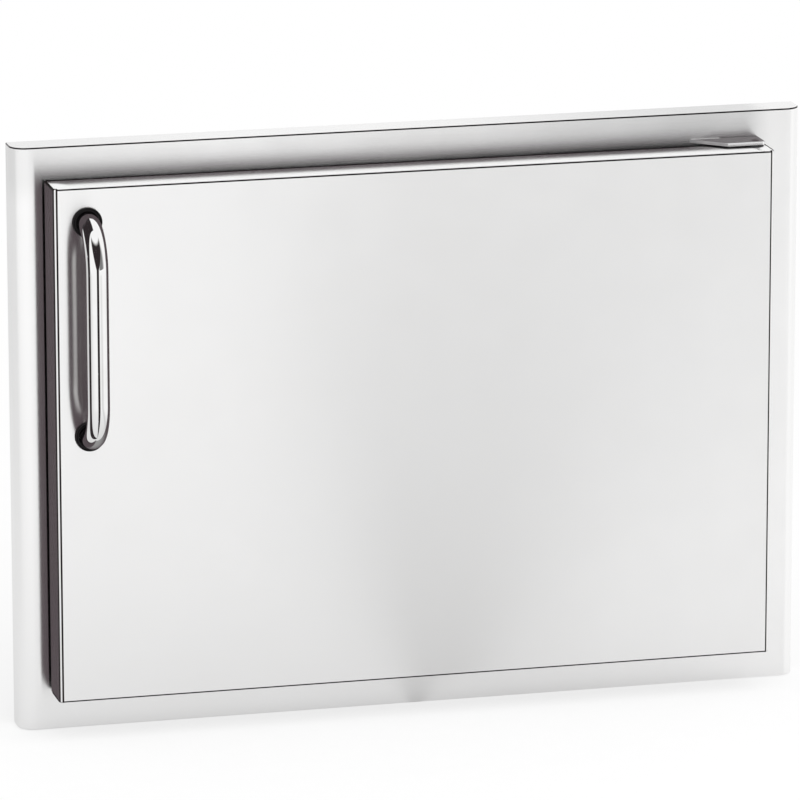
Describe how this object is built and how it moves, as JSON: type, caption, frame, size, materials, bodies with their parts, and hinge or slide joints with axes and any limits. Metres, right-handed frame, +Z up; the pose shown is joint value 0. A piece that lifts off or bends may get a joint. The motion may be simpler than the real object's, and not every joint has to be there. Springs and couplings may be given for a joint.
{
  "type": "bbq island access door",
  "caption": "Right-hinged stainless access door in a raised frame with a through-wall sleeve, for the side of an outdoor kitchen island, with a bow handle and magnetic catch.",
  "frame": {"origin": "centre of the wall cut-out, in the plane of the wall's front surface", "axes": "+Z up, the door's front faces -Y, the sleeve runs into the wall along +Y, the hinge is on the +X side"},
  "size_m": [0.59, 0.155, 0.433],
  "materials": {
    "brushed_sheet": "horizontally brushed, bright",
    "liner_sheet": "mill finish",
    "bracket_steel": "satin",
    "block_alloy": "sawn and tumbled",
    "polished_bar": "mirror polished",
    "bearing_plastic": "black acetal",
    "dark_rubber": "moulded, dark",
    "catch_plastic": "moulded",
    "magnet_ceramic": "sintered ferrite"
  },
  "bodies": {
    "frame": {"trim_frame": "brushed_sheet", "sleeve_top": "liner_sheet", "sleeve_bottom": "liner_sheet", "sleeve_left": "liner_sheet", "sleeve_right": "liner_sheet", "hinge_bracket_upper": "bracket_steel", "hinge_bracket_lower": "bracket_steel", "bracket_studs": "bracket_steel", "bracket_lock_washers": "bracket_steel", "bracket_nuts": "bracket_steel", "pivot_pin_upper": "bracket_steel", "pivot_pin_lower": "bracket_steel", "catch_body": "catch_plastic", "catch_magnet": "magnet_ceramic", "catch_pole_plates": "bracket_steel", "catch_screws": "bracket_steel", "door_bumpers": "dark_rubber"},
    "door": {"door_skin": "brushed_sheet", "door_inner_panel": "liner_sheet", "panel_rivets": "bracket_steel", "hinge_stiffener": "liner_sheet", "pivot_block_upper": "block_alloy", "pivot_block_lower": "block_alloy", "pivot_bush_upper": "bearing_plastic", "pivot_bush_lower": "bearing_plastic", "handle_bar": "polished_bar", "handle_gaskets": "dark_rubber", "handle_backing_plate": "liner_sheet", "handle_washers": "bracket_steel", "handle_screws": "bracket_steel", "strike_plate": "bracket_steel", "strike_screws": "bracket_steel"}
  },
  "joints": [
    {"name": "door_hinge", "type": "hinge", "parent": "frame", "child": "door", "pos_m": [0.259, -0.0385, 0], "axis": [0, 0, 1], "range_deg": [0, 105]}
  ]
}
